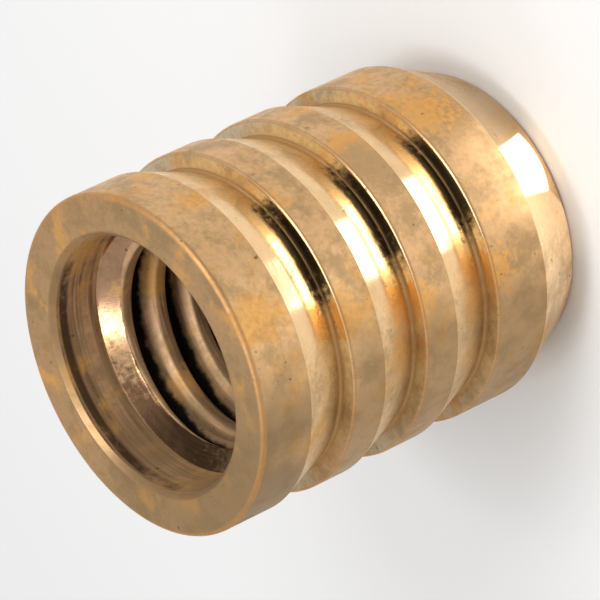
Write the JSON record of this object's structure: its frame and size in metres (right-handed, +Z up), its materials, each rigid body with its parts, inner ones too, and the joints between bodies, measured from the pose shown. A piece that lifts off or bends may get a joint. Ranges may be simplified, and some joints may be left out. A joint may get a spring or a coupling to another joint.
{
  "type": "shelf support bushing",
  "caption": "Knock-in brass bushing: a barbed round sleeve, tapered at its nose, with a threaded bore that takes a screw-in shelf support.",
  "frame": {"origin": "centre of the flat nose end, which the bushing stands on", "axes": "+Z runs up the bore and out of the mouth; X and Y are across it"},
  "size_m": [0.0082, 0.0082, 0.01],
  "materials": {
    "brass": "turned, bright but lightly tarnished"
  },
  "bodies": {
    "root": {"bushing": "brass"}
  },
  "joints": []
}
